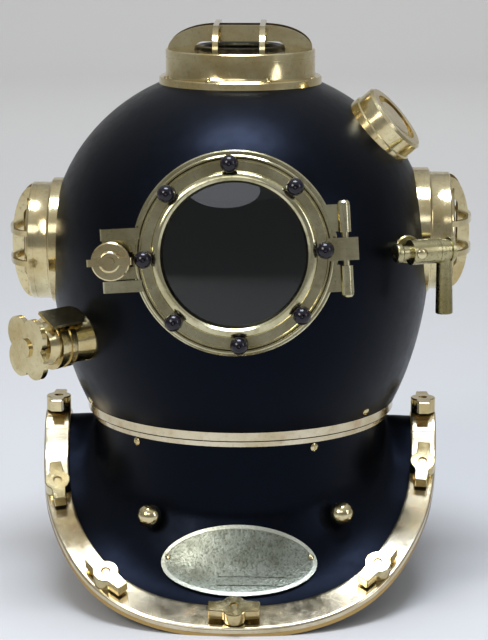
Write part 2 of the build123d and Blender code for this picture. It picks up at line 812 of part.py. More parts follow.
def on_skirt(outline, low, high):
    """Layer over the skirt between two heights, trimmed to an outline on the name plate's plane."""
    out = name_plane.z_dir
    upper = Pos(out.X * high, out.Y * high, out.Z * high) * skirt_fill
    lower = Pos(out.X * low, out.Y * low, out.Z * low) * skirt_fill
    column = extrude(name_plane * outline, name_plate_height, both=True)
    return (upper & column) - lower


oval = Pos(name_plate_shift, 0) * Ellipse(name_plate_width / 2, name_plate_height / 2)
oval_inside = Pos(name_plate_shift, 0) * Ellipse(name_plate_width / 2 - name_plate_rim,
                                                 name_plate_height / 2 - name_plate_rim)
face_level = seat_gap + name_plate_thickness
border_level = face_level + name_plate_rim_height
name_plate = on_skirt(oval, seat_gap, face_level)
name_plate = name_plate + on_skirt(oval - oval_inside, face_level, border_level)
for drop in name_plate_box_drops:
    box_outline = Pos(name_plate_box_side, -drop) * Rectangle(name_plate_box_width, name_plate_box_height)
    name_plate = name_plate + on_skirt(box_outline, face_level, border_level)
rivet_planes = []
for side in (-1, 1):
    rivet_turn = math.asin((side * plate_rivet_spacing / 2 + name_plate_shift) / -name_spot.Y)
    spot, normal = section_point(front + rivet_turn, name_plate_centre_height)
    rivet_planes.append(Plane(origin=spot, x_dir=(0, 0, 1), z_dir=normal))
rivet_hole = disc(plate_rivet_radius / 2 + fit_gap, -plate_wall * 2, border_level * 2)
rivet_head = turned([(0, 0), (plate_rivet_radius, 0), (plate_rivet_radius * 0.8, plate_rivet_radius * 0.5),
                     (0, plate_rivet_radius * 0.7)])
rivet_level = face_level + seat_gap
rivet = Pos(0, 0, rivet_level) * rivet_head + disc(plate_rivet_radius / 2, -plate_wall, rivet_level)
rivet_hole = rivet_hole + disc(plate_rivet_radius + fit_gap, rivet_level - fit_gap, border_level * 2)
for plane in rivet_planes:
    name_plate = name_plate - plane * rivet_hole
    breastplate = breastplate - plane * rivet_hole
save("name_plate", name_plate)

# Two brass balls in front of the skirt, for the strap that holds the helmet down
balls = []
for value in ball_angles:
    spot, normal = section_point(front + math.radians(value), ball_height)
    plane = Plane(origin=spot, x_dir=(0, 0, 1), z_dir=normal)
    ball = Pos(0, 0, ball_radius + seat_gap) * Sphere(ball_radius)
    balls.append(plane * (ball + disc(ball_neck_radius, -plate_wall, ball_radius)))
    breastplate = breastplate - plane * disc(ball_neck_radius + fit_gap, -plate_wall * 2, ball_radius)
save("strap_knobs", balls)


def neck_screws(radius, height, angles):
    """Slotted screws standing radially out of a neck wall."""
    screw = slotted_screw(neck_screw_radius, neck_screw_height, plate_wall)
    return [Plane(origin=on_section(angle, radius, height), x_dir=(0, 0, 1),
                  z_dir=(math.cos(angle), math.sin(angle), 0)) * screw for angle in angles]


lower_angles = [math.radians(value) for value in lower_screw_angles]
lower_height = lower_bottom + neck_ring_depth / 2 - neck_screw_radius - plate_wall / 2
plate_screws = neck_screws(neck_wall_radius + fit_gap, lower_height, lower_angles)
screw_hole = disc(neck_screw_radius / 2 + fit_gap, -plate_wall * 2, overrun)
for angle in lower_angles:
    plane = Plane(origin=on_section(angle, neck_wall_radius, lower_height), x_dir=(0, 0, 1),
                  z_dir=(math.cos(angle), math.sin(angle), 0))
    breastplate = breastplate - plane * screw_hole
    lower_ring = lower_ring - plane * screw_hole
save("breastplate_screws", plate_screws + [plane * rivet for plane in rivet_planes])
save("breastplate", breastplate)
save("neck_ring_lower", lower_ring)

# Screws above the upper neck ring
upper_height = neck_top + neck_screw_radius + plate_wall / 2
upper_radius = bonnet_profile_radius(upper_height)
widening = (bonnet_profile_radius(upper_height + neck_screw_radius) - upper_radius) / neck_screw_radius
upper_planes = [wall_plane(angle, upper_height, -math.degrees(math.atan(widening)))
                for angle in upper_screw_angles]
neck_screw = slotted_screw(neck_screw_radius, neck_screw_height, plate_wall)
for plane in upper_planes:
    bonnet = bonnet - plane * screw_hole
bonnet_screws = [plane * neck_screw for plane in upper_planes]

# Front port frame with the hinge bracket and the latch tabs, in the port's own axes
frame_step = port_frame_front - port_base_drop
frame = turned([(port_hole_radius, port_frame_front - port_frame_depth),
                (port_frame_radius, port_frame_front - port_frame_depth),
                (port_frame_radius, frame_step - port_edge), (port_frame_radius - port_edge, frame_step),
                (port_step_radius, frame_step), (port_step_radius, port_frame_front),
                (port_hole_radius, port_frame_front)])
outer_edge = hinge_reach + hinge_barrel_radius
knuckle_start = hinge_middle_half + hinge_gap
bracket_inner = hinge_reach - hinge_barrel_radius
bracket_floor = frame_step - hinge_bracket_width
for side in (-1, 1):
    low, high = sorted((side * knuckle_start, side * hinge_half_length))
    foot = block((bracket_inner - hinge_bracket_width, outer_edge), (low, high),
                 (bracket_floor, frame_step))
    web = block((bracket_inner, outer_edge), (low, high), (frame_step - port_edge, hinge_front))
    barrel = cross_rod(hinge_barrel_radius, low, high, hinge_reach, hinge_front)
    frame = frame + foot + web + barrel
    tab_low, tab_high = sorted((side * (latch_eye_half + running_gap),
                                side * (latch_eye_half + running_gap + latch_tab_thickness)))
    tab = block((-latch_reach - latch_tab_reach, -latch_rail_start),
                (tab_low, tab_high), (latch_pivot_front - latch_eye_radius, port_frame_front))
    frame = frame + tab
frame = frame - cross_rod(hinge_pin_radius + fit_gap, -hinge_half_length - overrun,
                          hinge_half_length + overrun, hinge_reach, hinge_front)
latch_outside = latch_eye_half + running_gap + latch_tab_thickness
frame = frame - cross_rod(latch_pivot_radius + fit_gap, -latch_outside - overrun, latch_outside + overrun,
                          -latch_reach, latch_pivot_front)
frame = port_plane * frame - bonnet_outer
save("front_port_frame", frame)
save("front_port_gasket", port_plane * tube(port_gasket_outer, port_gasket_inner, port_frame_front,
                                            port_frame_front + port_gasket_height))

# Hinge pin with a domed cap at each end
pin_end = hinge_half_length + seat_gap
cap = turned([(0, 0), (hinge_cap_radius, 0), (hinge_cap_radius, hinge_cap_height * 0.4),
              (hinge_cap_radius * 0.7, hinge_cap_height * 0.85), (0, hinge_cap_height)])
pin = cross_rod(hinge_pin_radius, -pin_end - fit_gap, pin_end + fit_gap, hinge_reach, hinge_front)
for side in (-1, 1):
    pin = pin + Pos(hinge_reach, side * pin_end, hinge_front) * Rot(-90 * side, 0, 0) * cap
save("hinge_pin", port_plane * pin)

# Faceplate ring with hinge arm and latch rails
ring_back = port_frame_front + port_gasket_height + running_gap
ring_face = ring_back + ring_thickness
seat_level = ring_back + ring_back_lip
ridge_outer, ridge_width = ring_outer_radius, ring_ridge_width
ridge_top = ring_face + ring_ridge_height
ring = turned([(ring_inner_radius, ring_back), (ridge_outer, ring_back),
               (ridge_outer, ring_face + ring_ridge_height * 0.5),
               (ridge_outer - ridge_width * 0.2, ridge_top),
               (ridge_outer - ridge_width * 0.42, ridge_top), (ridge_outer - ridge_width * 0.54, ring_face),
               (ridge_outer - ridge_width * 0.66, ridge_top - ring_ridge_height * 0.2),
               (ridge_outer - ridge_width * 0.88, ridge_top - ring_ridge_height * 0.2),
               (ridge_outer - ridge_width, ring_face), (lip_outer_radius + fit_gap, ring_face),
               (lip_outer_radius + fit_gap, ring_face - lip_depth),
               (glass_radius + fit_gap, ring_face - lip_depth),
               (glass_radius + fit_gap, seat_level), (ring_inner_radius, seat_level)])
arm_back = hinge_front - hinge_arm_thickness / 2
arm = block((latch_rail_start, hinge_reach + hinge_arm_tip), (-hinge_middle_half, hinge_middle_half),
            (arm_back, arm_back + hinge_arm_thickness))
ring = ring + arm + cross_rod(hinge_barrel_radius, -hinge_middle_half, hinge_middle_half, hinge_reach,
                              hinge_front)
ring = ring - cross_rod(hinge_pin_radius + fit_gap, -hinge_middle_half - overrun,
                        hinge_middle_half + overrun, hinge_reach, hinge_front)
rail_back = ring_back + ring_back_lip
for side in (-1, 1):
    low, high = sorted((side * latch_slot_half, side * (latch_slot_half + latch_rail_width)))
    rail = block((-latch_rail_end, -latch_rail_start), (low, high),
                 (rail_back, rail_back + latch_rail_height))
    rail = fillet(rail.edges().filter_by(Axis.Y).sort_by(Axis.X)[:2], latch_rail_height / 3)
    ring = ring + rail
spot_face = Pos(face_nut_circle, 0, 0) * disc(face_nut_radius - face_nut_sink / 2, ring_face,
                                              ridge_top + overrun)
for cutter in ring_of(spot_face, face_nut_count):
    ring = ring - cutter
save("faceplate_ring", port_plane * ring)

# Faceplate glass, slightly domed, and the ring that holds it
glass_front = ring_face - lip_depth
glass_sphere = (lip_inner_radius ** 2 + glass_dome ** 2) / (2 * glass_dome)
glass = disc(glass_radius, seat_level, glass_front - fit_gap)
dome = Pos(0, 0, glass_front + glass_dome - glass_sphere) * Sphere(glass_sphere)
glass = glass + (dome & disc(lip_inner_radius - fit_gap, seat_level, glass_front + glass_dome * 2))
save("faceplate_glass", port_plane * glass)
lip_top = ring_face + lip_height
bezel = turned([(lip_outer_radius, glass_front), (lip_outer_radius, ring_face + lip_height * 0.14),
                (lip_outer_radius - lip_height * 0.28, ring_face + lip_height * 0.55),
                (lip_outer_radius - lip_height * 0.9, lip_top - lip_height * 0.06),
                (lip_inner_radius + lip_height * 0.5, lip_top),
                (lip_inner_radius, ring_face + lip_height * 0.6),
                (lip_inner_radius, glass_front)])
save("faceplate_bezel", port_plane * bezel)
nut_centre = ring_face + face_nut_radius - face_nut_sink
ball_nut = Pos(0, 0, nut_centre) * Sphere(face_nut_radius) & disc(face_nut_radius * 2, ring_face,
                                                                  nut_centre * 2)
dimple = Pos(0, 0, nut_centre + face_nut_radius) * Sphere(face_nut_dimple)
face_nuts = ring_of(Pos(face_nut_circle, 0, 0) * (ball_nut - dimple), face_nut_count)
save("faceplate_nuts", [port_plane * item for item in face_nuts])

# Swing bolt, its pivot and its wing nut
eye = cross_rod(latch_eye_radius, -latch_eye_half, latch_eye_half, -latch_reach, latch_pivot_front)
shaft = Pos(-latch_reach, 0, 0) * disc(latch_bolt_radius, latch_pivot_front, latch_bolt_end)
swing_bolt = eye + shaft - cross_rod(latch_pivot_radius + fit_gap, -latch_eye_half - overrun,
                                     latch_eye_half + overrun, -latch_reach, latch_pivot_front)
save("swing_bolt", port_plane * swing_bolt)
latch_pin = cross_rod(latch_pivot_radius, -latch_outside - fit_gap, latch_outside + latch_pin_overhang,
                      -latch_reach, latch_pivot_front)
latch_pin = latch_pin + cross_rod(latch_pivot_radius * 1.6, latch_outside + fit_gap,
                                  latch_outside + latch_pin_overhang, -latch_reach, latch_pivot_front)
disc_top = latch_nut_seat + latch_nut_disc_height
latch_disc = disc(latch_nut_disc_radius, latch_nut_seat, disc_top)
latch_disc = chamfer(latch_disc.edges(), latch_nut_disc_height / 4)
latch_boss = disc(latch_nut_boss_radius, latch_nut_seat, latch_nut_seat + latch_nut_boss_height)
latch_boss = fillet(latch_boss.edges().group_by(Axis.Z)[-1], latch_nut_boss_height / 6)
wing_low = disc_top - latch_nut_disc_height / 4
latch_wings = block((-latch_wing_length / 2, latch_wing_length / 2),
                    (-latch_wing_width / 2, latch_wing_width / 2),
                    (wing_low, wing_low + latch_wing_height))
latch_wings = fillet(latch_wings.edges().filter_by(Axis.Y), latch_wing_height / 4)
latch_nut = latch_disc + latch_boss + latch_wings
latch_nut = latch_nut - disc(latch_bolt_radius + fit_gap, 0, latch_bolt_end + overrun)
save("latch_wing_nut", port_plane * Pos(-latch_reach, 0, 0) * latch_nut)

# Side and top ports, each a collar, a glass, a bezel and a guard
side_base_top = port_base_top(side_base_radius, side_base_height, bonnet_radius, bonnet_radius, side_face)
top_base_top = port_base_top(top_base_radius, top_base_height, bonnet_radius, bonnet_upper_rise,
                             top_face - bonnet_mid_height)
side_depth = side_face - bonnet_radius / 2
top_depth = top_face - bonnet_mid_height - bonnet_upper_rise / 2
ports = {
    "left": (left_plane, side_barrel_radius, side_base_radius, side_base_top, side_bore_radius,
             side_glass_radius, side_depth),
    "right": (right_plane, side_barrel_radius, side_base_radius, side_base_top, side_bore_radius,
              side_glass_radius, side_depth),
    "top": (top_plane, top_barrel_radius, top_base_radius, top_base_top, top_bore_radius,
            top_glass_radius, top_depth),
}
guards = {
    "left": ((side_fin_spread, side_fin_reach, side_fin_flat_share),
             (side_bar_spread, side_bar_reach, side_bar_flat_share)),
    "right": ((side_fin_spread, side_fin_reach, side_fin_flat_share),
              (side_bar_spread, side_bar_reach, side_bar_flat_share)),
    "top": ((top_fin_spread, top_fin_reach, top_fin_flat_share),
            (top_bar_spread, top_bar_reach, top_bar_flat_share)),
}
glasses, bezels, guard_frames = {}, {}, {}
flange_circle = (top_barrel_radius + top_base_radius) / 2
flange_shank = flange_screw_radius * 2
flange_hole = disc(flange_screw_radius / 2 + fit_gap, top_base_top - flange_shank - running_gap, top_base_top)
flange_hole = flange_hole + disc(flange_screw_radius + fit_gap, top_base_top, top_base_top + flange_shank)
flange_hole = Pos(flange_circle, 0, 0) * flange_hole
for name, (plane, radius, base_radius, base_top, bore, glass_r, depth) in ports.items():
    collar = turned(port_outline(radius, base_radius, base_top, bore, glass_r, depth))
    if name == "top":
        for hole in ring_of(flange_hole, flange_screw_count, flange_screw_turn):
            collar = collar - hole
            bonnet = bonnet - plane * hole
    save(f"{name}_port_collar", plane * collar - bonnet_outer)
    back = -bezel_depth - small_glass_thickness
    glasses[name] = plane * disc(glass_r, back, -bezel_depth)
    bezels[name] = plane * port_bezel(glass_r)
    fin_sizes, bar_sizes = guards[name]
    face_radius = radius - port_edge
    fin_spread, bar_spread = fin_sizes[0], bar_sizes[0]
    half_fin = math.sqrt(face_radius ** 2 - (fin_spread + fin_thickness / 2) ** 2)
    half_bar = math.sqrt(face_radius ** 2 - (bar_spread + bar_width / 2) ** 2)
    guard_frames[name] = plane * port_guard(half_fin, half_bar, fin_sizes, bar_sizes, glass_r)
for piece, made in (("glass", glasses), ("bezel", bezels), ("guard", guard_frames)):
    save(f"side_port_{piece}", [made["left"], made["right"]])
    save(f"top_port_{piece}", made["top"])
bonnet_screws += [top_plane * item for item in
                  flange_screws(flange_circle, top_base_top, flange_screw_count, flange_screw_turn)]

# Telephone cap with its inner disc and the receiver behind it
phone_back = -bonnet_radius / 8
cup = turned([(phone_hole_radius, phone_back), (phone_base_radius, phone_back),
              (phone_base_radius, phone_base_height - port_edge),
              (phone_base_radius - port_edge, phone_base_height),
              (phone_radius, phone_base_height), (phone_radius, phone_height - port_edge * 2),
              (phone_radius - port_edge * 2, phone_height),
              (phone_radius - phone_rim_width, phone_height),
              (phone_radius - phone_rim_width, phone_height - phone_recess),
              (0, phone_height - phone_recess), (0, phone_height - phone_recess - plate_wall),
              (phone_hole_radius, phone_height - phone_recess - plate_wall)])
disc_level = phone_height - phone_recess
phone_disc = turned([(0, disc_level), (phone_disc_radius, disc_level),
                     (phone_disc_radius, disc_level + phone_recess * 0.4),
                     (phone_disc_radius - phone_recess * 0.4, disc_level + phone_recess * 0.7),
                     (0, disc_level + phone_recess * 0.8)])
save("telephone_cap", phone_plane * (cup + phone_disc) - bonnet_outer)
receiver_top = phone_height - phone_recess - plate_wall
receiver = disc(phone_receiver_radius, receiver_top - phone_receiver_height, receiver_top)
save("telephone_receiver", phone_plane * receiver)

# Exhaust valve: body, ring nut, cap, handwheel, and the disc that the chin button lifts
exhaust_back = -bonnet_radius / 8
valve_bore = exhaust_hole_radius
valve_seat = exhaust_base_height * 2
body = turned([(valve_bore, exhaust_back), (exhaust_base_radius, exhaust_back),
               (exhaust_base_radius, exhaust_base_height),
               (exhaust_body_radius, exhaust_base_height + port_edge),
               (exhaust_body_radius, exhaust_body_height), (valve_bore, exhaust_body_height),
               (valve_bore, valve_seat), (valve_stem_radius * 2, valve_seat),
               (valve_stem_radius * 2, valve_seat - plate_wall), (valve_bore, valve_seat - plate_wall)])
tab_half, post_half = exhaust_tab_width / 2, exhaust_tab_post / 2
tab_under = exhaust_ring_radius + exhaust_tab_gap
tab = block((-tab_half, tab_half), (tab_under, tab_under + exhaust_tab_thickness),
            (exhaust_tab_start, exhaust_tab_end))
tab = fillet(tab.edges().filter_by(Axis.Y).group_by(Axis.Z)[0], tab_half * 0.8)
post = block((-post_half, post_half), (valve_bore + plate_wall, tab_under + exhaust_tab_thickness / 2),
             (exhaust_tab_start, exhaust_tab_start + exhaust_tab_post))
body = body + Rot(0, 0, -exhaust_tab_turn) * (tab + post)
save("exhaust_body", exhaust_plane * body - bonnet_outer)
ring_low = exhaust_body_height - exhaust_ring_height * 0.6
groove_low = ring_low + exhaust_ring_height * 0.36
groove_high = ring_low + exhaust_ring_height * 0.64
ring_top = ring_low + exhaust_ring_height
ring_nut = turned([(exhaust_body_radius + fit_gap, ring_low), (exhaust_ring_radius, ring_low),
                   (exhaust_ring_radius, groove_low),
                   (exhaust_ring_radius - exhaust_groove_depth / 2, groove_low),
                   (exhaust_ring_radius - exhaust_groove_depth / 2, groove_high),
                   (exhaust_ring_radius, groove_high),
                   (exhaust_ring_radius, ring_top), (exhaust_cap_radius, ring_top),
                   (exhaust_cap_radius, exhaust_body_height + fit_gap),
                   (exhaust_body_radius + fit_gap, exhaust_body_height + fit_gap)])
save("exhaust_ring_nut", exhaust_plane * ring_nut)
cap_bottom = exhaust_body_height
cap_top = ring_top + exhaust_cap_height
cap_face = exhaust_cap_radius - fit_gap
exhaust_cap = turned([(exhaust_stem_radius + fit_gap, cap_top - plate_wall),
                      (valve_bore, cap_top - plate_wall),
                      (valve_bore, cap_bottom), (cap_face, cap_bottom), (cap_face, ring_top + port_edge),
                      (cap_face * 0.8, cap_top), (exhaust_stem_radius + fit_gap, cap_top)])
save("exhaust_cap", exhaust_plane * exhaust_cap)
wheel_low = exhaust_wheel_offset - exhaust_wheel_thickness
lobe = exhaust_wheel_radius * exhaust_lobe_share
wheel_plan = Circle(exhaust_wheel_radius - lobe)
for number in range(exhaust_lobe_count):
    wheel_plan = wheel_plan + Rot(0, 0, 45 + 360 / exhaust_lobe_count * number) * Pos(
        exhaust_wheel_radius - lobe, 0) * Circle(lobe)
wheel = Pos(0, 0, wheel_low) * extrude(wheel_plan, exhaust_wheel_thickness)
hub = disc(exhaust_hub_radius, wheel_low - exhaust_hub_height / 2,
           exhaust_wheel_offset + exhaust_hub_height / 4)
stem_bottom = cap_top - plate_wall - exhaust_stem_radius / 2
handwheel = wheel + hub + disc(exhaust_stem_radius, stem_bottom, wheel_low)
save("exhaust_handwheel", exhaust_plane * handwheel)
valve_low = valve_seat + seat_gap
button_face = -bonnet_wall - chin_button_reach
poppet = disc(valve_disc_radius, valve_low, valve_low + valve_disc_thickness)
poppet = poppet + disc(valve_stem_radius, button_face, valve_low + valve_disc_thickness)
save("exhaust_valve", exhaust_plane * poppet)
chin_button = disc(chin_button_radius, button_face - chin_button_height, button_face)
chin_button = fillet(chin_button.edges().group_by(Axis.Z)[0], chin_button_height / 3)
save("chin_button", exhaust_plane * chin_button)
spring_base = valve_low + valve_disc_thickness + exhaust_spring_wire + running_gap / 2
pitch = exhaust_spring_length / exhaust_spring_turns
coil = Helix(pitch=pitch, height=exhaust_spring_length, radius=exhaust_spring_radius)
wire_start = Plane(origin=coil.position_at(0), z_dir=coil.tangent_at(0))
spring = sweep(wire_start * Circle(exhaust_spring_wire), path=coil)
save("exhaust_spring", exhaust_plane * Pos(0, 0, spring_base) * spring)

# Spitcock: fixed body and spout, plug with its lever, and the gland screw
centre = spit_body_rise
base = turned([(spit_bore_radius, -bonnet_radius / 8), (spit_base_radius, -bonnet_radius / 8),
               (spit_base_radius, spit_base_height - port_edge),
               (spit_base_radius - port_edge, spit_base_height),
               (spit_body_radius * 0.8, spit_base_height), (spit_body_radius * 0.8, centre),
               (spit_bore_radius, centre)])
barrel = Pos(0, 0, centre) * Rot(0, 90, 0) * disc(spit_body_radius, -spit_body_left, spit_body_right)
spout_end = spit_body_left + spit_spout_length
spout = Rot(0, -90, 0) * disc(spit_spout_radius, spit_body_left - overrun, spout_end)
bead = Rot(0, -90, 0) * fillet(disc(spit_bead_radius, spout_end - spit_bead_width, spout_end).edges(),
                               spit_bead_width / 3)
spit_body = base + barrel + Pos(0, 0, centre) * (spout + bead)
spit_body = spit_body - Pos(0, 0, centre) * Rot(0, -90, 0) * disc(spit_bore_radius, 0, spout_end + overrun)
plug_start = -spit_body_left * 0.75
plug_bore = Rot(0, 90, 0) * disc(spit_plug_radius + fit_gap, plug_start - running_gap,
                                 spit_body_right + overrun)
spit_body = spit_body - Pos(0, 0, centre) * plug_bore
screw_shank = spit_screw_height / 2
screw_seat = centre + spit_body_radius - spit_screw_height / 2
spit_body = spit_body - disc(spit_screw_radius + running_gap, screw_seat, screw_seat + spit_body_radius)
spit_body = spit_body - disc(spit_screw_radius / 2 + fit_gap, screw_seat - screw_shank - fit_gap, screw_seat)
save("spitcock_body", spit_plane * spit_body - bonnet_outer)
bonnet_screws.append(spit_plane * Pos(0, 0, screw_seat) * (
    slotted_screw(spit_screw_radius, spit_screw_height, screw_shank)))
save("bonnet_screws", bonnet_screws)
plug_end = spit_body_right + running_gap
plug = Rot(0, 90, 0) * disc(spit_plug_radius, plug_start, plug_end + overrun)
for start in (plug_end, plug_end + spit_plug_length - spit_cap_height):
    plug = plug + Rot(0, 90, 0) * disc(spit_cap_radius, start, start + spit_cap_height)
plug = plug + Rot(0, 90, 0) * disc(spit_body_radius * 0.86, plug_end, plug_end + spit_plug_length)
plug = plug - Rot(0, 90, 0) * disc(spit_bore_radius, plug_start - overrun, spit_bore_radius)
plug = plug - Rot(-90, 0, 0) * disc(spit_bore_radius, 0, spit_plug_radius + overrun)
lever_middle = plug_end + spit_plug_length / 2
lever = Cone(spit_lever_root_radius, spit_lever_end_radius, spit_lever_length,
             align=(Align.CENTER, Align.CENTER, Align.MIN))
lever = chamfer(lever.edges().group_by(Axis.Z)[-1], spit_lever_end_radius / 10)
lever = Pos(lever_middle, 0, 0) * Rot(90, 0, 0) * lever
save("spitcock_plug", spit_plane * Pos(0, 0, centre) * (plug + lever))


def bent_pipe(radius, stand, bend, drop):
    """Round bar that leaves the bonnet, turns down through a quarter circle and ends level."""
    turn = CenterArc((0, 0), bend, 0, 90)
    upper = Line((0, 0, -overrun * 2), (0, 0, stand))
    corner = Plane(origin=(0, -bend, stand), x_dir=(0, 1, 0), z_dir=(1, 0, 0)) * turn
    lower = Line((0, -bend, stand + bend), (0, -bend - drop, stand + bend))
    path = Wire([upper, corner, lower])
    return sweep(Plane(origin=(0, 0, -overrun * 2), z_dir=(0, 0, 1)) * Circle(radius), path=path)


def gooseneck(thread_radius, gap):
    """Bent elbow with a base flange, then after a gap a hexagon and a threaded end that points down."""
    stand = gooseneck_base_height + gooseneck_stand
    solid = bent_pipe(gooseneck_tube_radius, stand, gooseneck_bend_radius, gooseneck_drop)
    base = turned([(0, -bonnet_radius / 8), (gooseneck_base_radius, -bonnet_radius / 8),
                   (gooseneck_base_radius, gooseneck_base_height - port_edge),
                   (gooseneck_base_radius - port_edge, gooseneck_base_height), (0, gooseneck_base_height)])
    height = stand + gooseneck_bend_radius
    end = -gooseneck_bend_radius - gooseneck_drop
    down = Plane(origin=(0, end - gap, height), x_dir=(1, 0, 0), z_dir=(0, -1, 0))
    nut_part = down * extrude(RegularPolygon(valve_body_hex / 2, 6), valve_body_length)
    thread = down * disc(thread_radius, valve_body_length - fit_gap, valve_body_length + air_thread_length)
    bore = bent_pipe(gooseneck_bore_radius, stand, gooseneck_bend_radius, gooseneck_drop + overrun)
    through = down * disc(gooseneck_bore_radius, -overrun, valve_body_length + air_thread_length + overrun)
    entry = disc(gooseneck_bore_radius, -bonnet_radius, overrun)
    outside = base + solid
    return outside - bore - entry, nut_part + thread - through


air_elbow, air_valve = gooseneck(air_thread_radius, fit_gap)
talk_elbow, talk_union = gooseneck(phone_thread_radius, -fit_gap)
save("air_gooseneck", air_plane * air_elbow - bonnet_outer)
save("air_check_valve_body", air_plane * air_valve)
save("phone_gooseneck", talk_plane * (talk_elbow + talk_union) - bonnet_outer)
save("bonnet", bonnet)

# Safety catch at the back: a bracket on the bonnet, a pin and a drop lever
lock_reach = bonnet_profile_radius(neck_top + lock_height) + lock_lever_thickness + running_gap
lock_plane = Plane(origin=(0, lock_reach, neck_top), x_dir=(-1, 0, 0), z_dir=(0, 1, 0))
cheek_gap = lock_lever_width / 2 + running_gap
cheeks = []
bracket_back = -lock_height
for side in (-1, 1):
    low, high = sorted((side * cheek_gap, side * lock_width / 2))
    cheeks.append(block((low, high), (plate_wall, lock_height), (bracket_back, lock_thickness)))
bracket = fused(cheeks + [block((-lock_width / 2, lock_width / 2), (plate_wall, lock_height),
                                (bracket_back, -lock_lever_thickness - running_gap))])
pivot = Rot(0, 90, 0) * disc(lock_pin_radius + fit_gap, -lock_width, lock_width)
bracket = bracket - Pos(0, lock_pivot_rise, 0) * pivot
save("catch_bracket", lock_plane * bracket - bonnet_outer)
pin_rod = Rot(0, 90, 0) * disc(lock_pin_radius, -lock_width / 2 - overrun, lock_width / 2 + overrun)
save("latch_and_catch_pins", [port_plane * latch_pin, lock_plane * Pos(0, lock_pivot_rise, 0) * pin_rod])
lever_half = lock_lever_width / 2
lever_round = lock_lever_thickness
catch = Rot(0, 90, 0) * disc(lever_round, -lever_half, lever_half)
catch = catch + block((-lever_half, lever_half), (-lock_lever_length, 0), (lever_round / 2, lever_round))
catch = catch - Rot(0, 90, 0) * disc(lock_pin_radius + fit_gap, -lock_width, lock_width)
save("catch_lever", lock_plane * Pos(0, lock_pivot_rise, 0) * catch)
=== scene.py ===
import json
import math
import bpy
import numpy as np
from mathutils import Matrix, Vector


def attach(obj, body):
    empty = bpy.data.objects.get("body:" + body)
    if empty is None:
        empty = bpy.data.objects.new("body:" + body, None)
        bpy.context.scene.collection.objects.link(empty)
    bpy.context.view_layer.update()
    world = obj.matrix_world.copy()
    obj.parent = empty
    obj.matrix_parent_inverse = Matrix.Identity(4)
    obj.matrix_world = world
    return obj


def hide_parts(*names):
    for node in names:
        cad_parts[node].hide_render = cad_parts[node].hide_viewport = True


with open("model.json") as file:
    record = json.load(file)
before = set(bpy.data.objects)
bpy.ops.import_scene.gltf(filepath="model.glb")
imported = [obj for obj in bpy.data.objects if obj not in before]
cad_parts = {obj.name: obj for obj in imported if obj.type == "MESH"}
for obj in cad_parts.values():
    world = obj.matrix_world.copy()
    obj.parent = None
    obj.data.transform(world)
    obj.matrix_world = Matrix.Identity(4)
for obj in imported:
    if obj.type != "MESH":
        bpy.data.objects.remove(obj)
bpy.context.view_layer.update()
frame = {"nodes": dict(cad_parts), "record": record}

MM = 0.001

# Camera: a short tele lens, a little above the helmet, in millimetres and degrees
CAMERA_DISTANCE = 1750.0
CAMERA_HEIGHT = 582.5
CAMERA_PITCH = 12.05
CAMERA_AZIMUTH = 1.5
CAMERA_ASIDE = 2.9
CAMERA_REACH = 50000.0
FOCAL_PIXELS = 2152.0
IMAGE_HEIGHT = 640.0
SENSOR = 36.0


def set_camera():
    """Camera beside the line through the origin at its azimuth, pitched down at the helmet."""
    lens = bpy.data.cameras.new("camera")
    lens.sensor_width = SENSOR
    lens.lens = FOCAL_PIXELS / IMAGE_HEIGHT * SENSOR
    lens.clip_end = CAMERA_REACH * MM
    camera = bpy.data.objects.new("camera", lens)
    bpy.context.scene.collection.objects.link(camera)
    turn = math.radians(CAMERA_AZIMUTH)
    across = Vector((math.cos(turn), math.sin(turn), 0))
    ahead = Vector((-math.sin(turn), math.cos(turn), 0))
    raised = Vector((0, 0, CAMERA_HEIGHT))
    camera.location = (across * CAMERA_ASIDE - ahead * CAMERA_DISTANCE + raised) * MM
    camera.rotation_euler = (math.radians(90 - CAMERA_PITCH), 0, turn)
    bpy.context.scene.camera = camera
    bpy.context.scene.view_settings.view_transform = "Standard"


set_camera()

# Breastplate rim in plan, a superellipse, and its rise at the shoulders as shares along its depth
RIM_HALF_WIDTH = 163.0
RIM_HALF_DEPTH = 185.0
RIM_ROUNDNESS = 2.4
SHOULDER_RISE = 126.0
RISE_SHARES = np.array([1.0, 0.752, 0.55, 0.375, 0.175, 0.0])

# Clamping bands: height of their upper face over the rim's curve, cut, and the joints beside the shoulders
BAND_BASE = 5.95
BAND_WIDTH = 21.0
BAND_THICKNESS = 4.0
BAND_CORNER = 1.4
BAND_FLAT = (3.0, 18.0)
BAND_JOINT = 18.57
BAND_GAP = 0.4
PROFILE_STEPS = 6
END_ROUNDS = 6
LONG_ROWS = 181
SHORT_ROWS = 41

# Bare metal on the rim's edge: shares of the superellipse, and the height where the shoulders end it
WORN_EDGE = (0.985, 0.99)
WORN_BELOW = (150.0, 151.0)

# Oval plate's ground inside its border, where painted shade darkens the recess: direction up its face,
# middle across and up, half sizes
PLATE_UPWARD = (0.0, 0.4794, 0.8776)
PLATE_MIDDLE = (2.5, -26.74)
PLATE_FIELD = (58.45, 25.45)
PLATE_BORDER_FADE = (0.97, 1.0)

# Front port: axis height and tilt, and its glass as radii and levels along that axis
PORT_HEIGHT = 274.0
PORT_TILT = math.radians(7.0)
GLASS_RADIUS = 60.9
GLASS_BACK = 161.85
GLASS_FRONT = 167.4
GLASS_LIP = 55.45
GLASS_DOME = 7.0
GLASS_BACK_RINGS = 3
GLASS_FRONT_RINGS = 18
GLASS_STEPS = 128


# Node helpers

def linear(code):
    """sRGB hex colour as linear red, green, blue and alpha."""
    parts = [int(code[i:i + 2], 16) / 255 for i in (1, 3, 5)]
    return tuple(p / 12.92 if p <= 0.04045 else ((p + 0.055) / 1.055) ** 2.4 for p in parts) + (1.0,)


